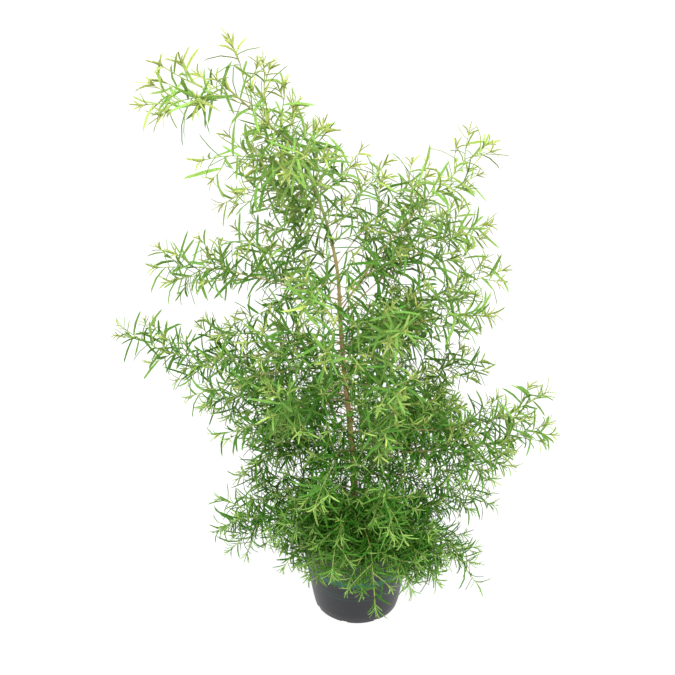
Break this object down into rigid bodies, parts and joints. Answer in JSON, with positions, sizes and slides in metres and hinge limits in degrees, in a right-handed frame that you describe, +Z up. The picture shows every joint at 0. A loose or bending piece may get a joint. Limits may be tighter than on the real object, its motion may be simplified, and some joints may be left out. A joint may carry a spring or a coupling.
{
  "type": "potted tea tree",
  "caption": "Young tea tree shrub with a leaning, arching trunk and airy branches of needle-like leaves, rooted in compost in a round, tapered plastic nursery pot.",
  "frame": {"origin": "middle of the pot's flat underside", "axes": "+Z up along the pot's axis; -Y is the front, the side seen in the picture; +X to the right seen from the front"},
  "size_m": [0.5984, 0.4641, 0.8482],
  "materials": {
    "pot_plastic": "thin dark grey moulded plastic, satin, with a green band under the collar",
    "compost": "dark, fibrous, loose peat and bark compost",
    "bark": "thin tan to orange-brown bark, dull",
    "leaf": "narrow, leathery, slightly waxy leaves, yellow-green at the tips"
  },
  "bodies": {
    "root": {"pot": "pot_plastic", "soil": "compost", "trunk": "bark", "branch_01": "leaf", "branch_02": "leaf", "branch_03": "leaf", "branch_04": "leaf", "branch_05": "leaf", "branch_06": "leaf", "branch_07": "leaf", "branch_08": "leaf", "branch_09": "leaf", "branch_10": "leaf", "branch_11": "leaf", "branch_12": "leaf", "branch_13": "leaf", "branch_14": "leaf", "branch_15": "leaf", "branch_16": "leaf", "branch_17": "leaf", "branch_18": "leaf", "branch_19": "leaf", "branch_20": "leaf", "branch_21": "leaf", "branch_22": "leaf", "branch_23": "leaf", "branch_24": "leaf", "branch_25": "leaf", "branch_26": "leaf", "branch_27": "leaf", "branch_28": "leaf", "branch_29": "leaf", "branch_30": "leaf", "branch_31": "leaf", "branch_32": "leaf", "branch_33": "leaf", "branch_34": "leaf", "branch_35": "leaf", "branch_36": "leaf", "branch_37": "leaf", "branch_38": "leaf", "branch_39": "leaf", "branch_40": "leaf", "branch_41": "leaf", "branch_42": "leaf", "branch_43": "leaf", "branch_44": "leaf", "branch_45": "leaf", "branch_46": "leaf", "branch_47": "leaf", "branch_48": "leaf", "branch_49": "leaf", "branch_50": "leaf", "branch_51": "leaf", "branch_52": "leaf", "branch_53": "leaf", "branch_54": "leaf", "branch_55": "leaf", "branch_56": "leaf", "branch_57": "leaf"}
  },
  "joints": []
}
